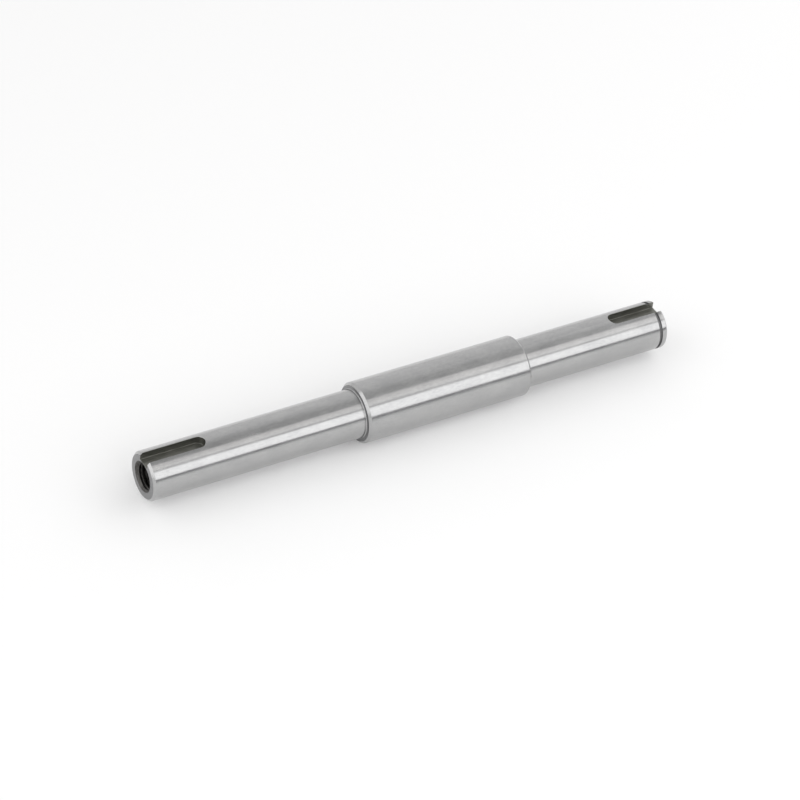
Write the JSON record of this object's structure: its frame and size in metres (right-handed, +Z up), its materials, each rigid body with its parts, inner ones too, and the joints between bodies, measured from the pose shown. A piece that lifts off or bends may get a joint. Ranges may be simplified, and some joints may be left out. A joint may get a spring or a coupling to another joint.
{
  "type": "stepped shaft",
  "caption": "Round steel shaft with a thicker middle, an open keyway at each end, a retaining-ring groove at one end and a tapped hole in the other.",
  "frame": {"origin": "on the shaft's axis, halfway between the two end faces", "axes": "+X along the axis, from the tapped end to the retaining-ring end; +Z up, out of both keyways"},
  "size_m": [0.235, 0.025, 0.025],
  "materials": {
    "ground_steel": "fine-ground, bare and bright, with darker milled keyways and turned faces"
  },
  "bodies": {
    "root": {"shaft": "ground_steel"}
  },
  "joints": []
}
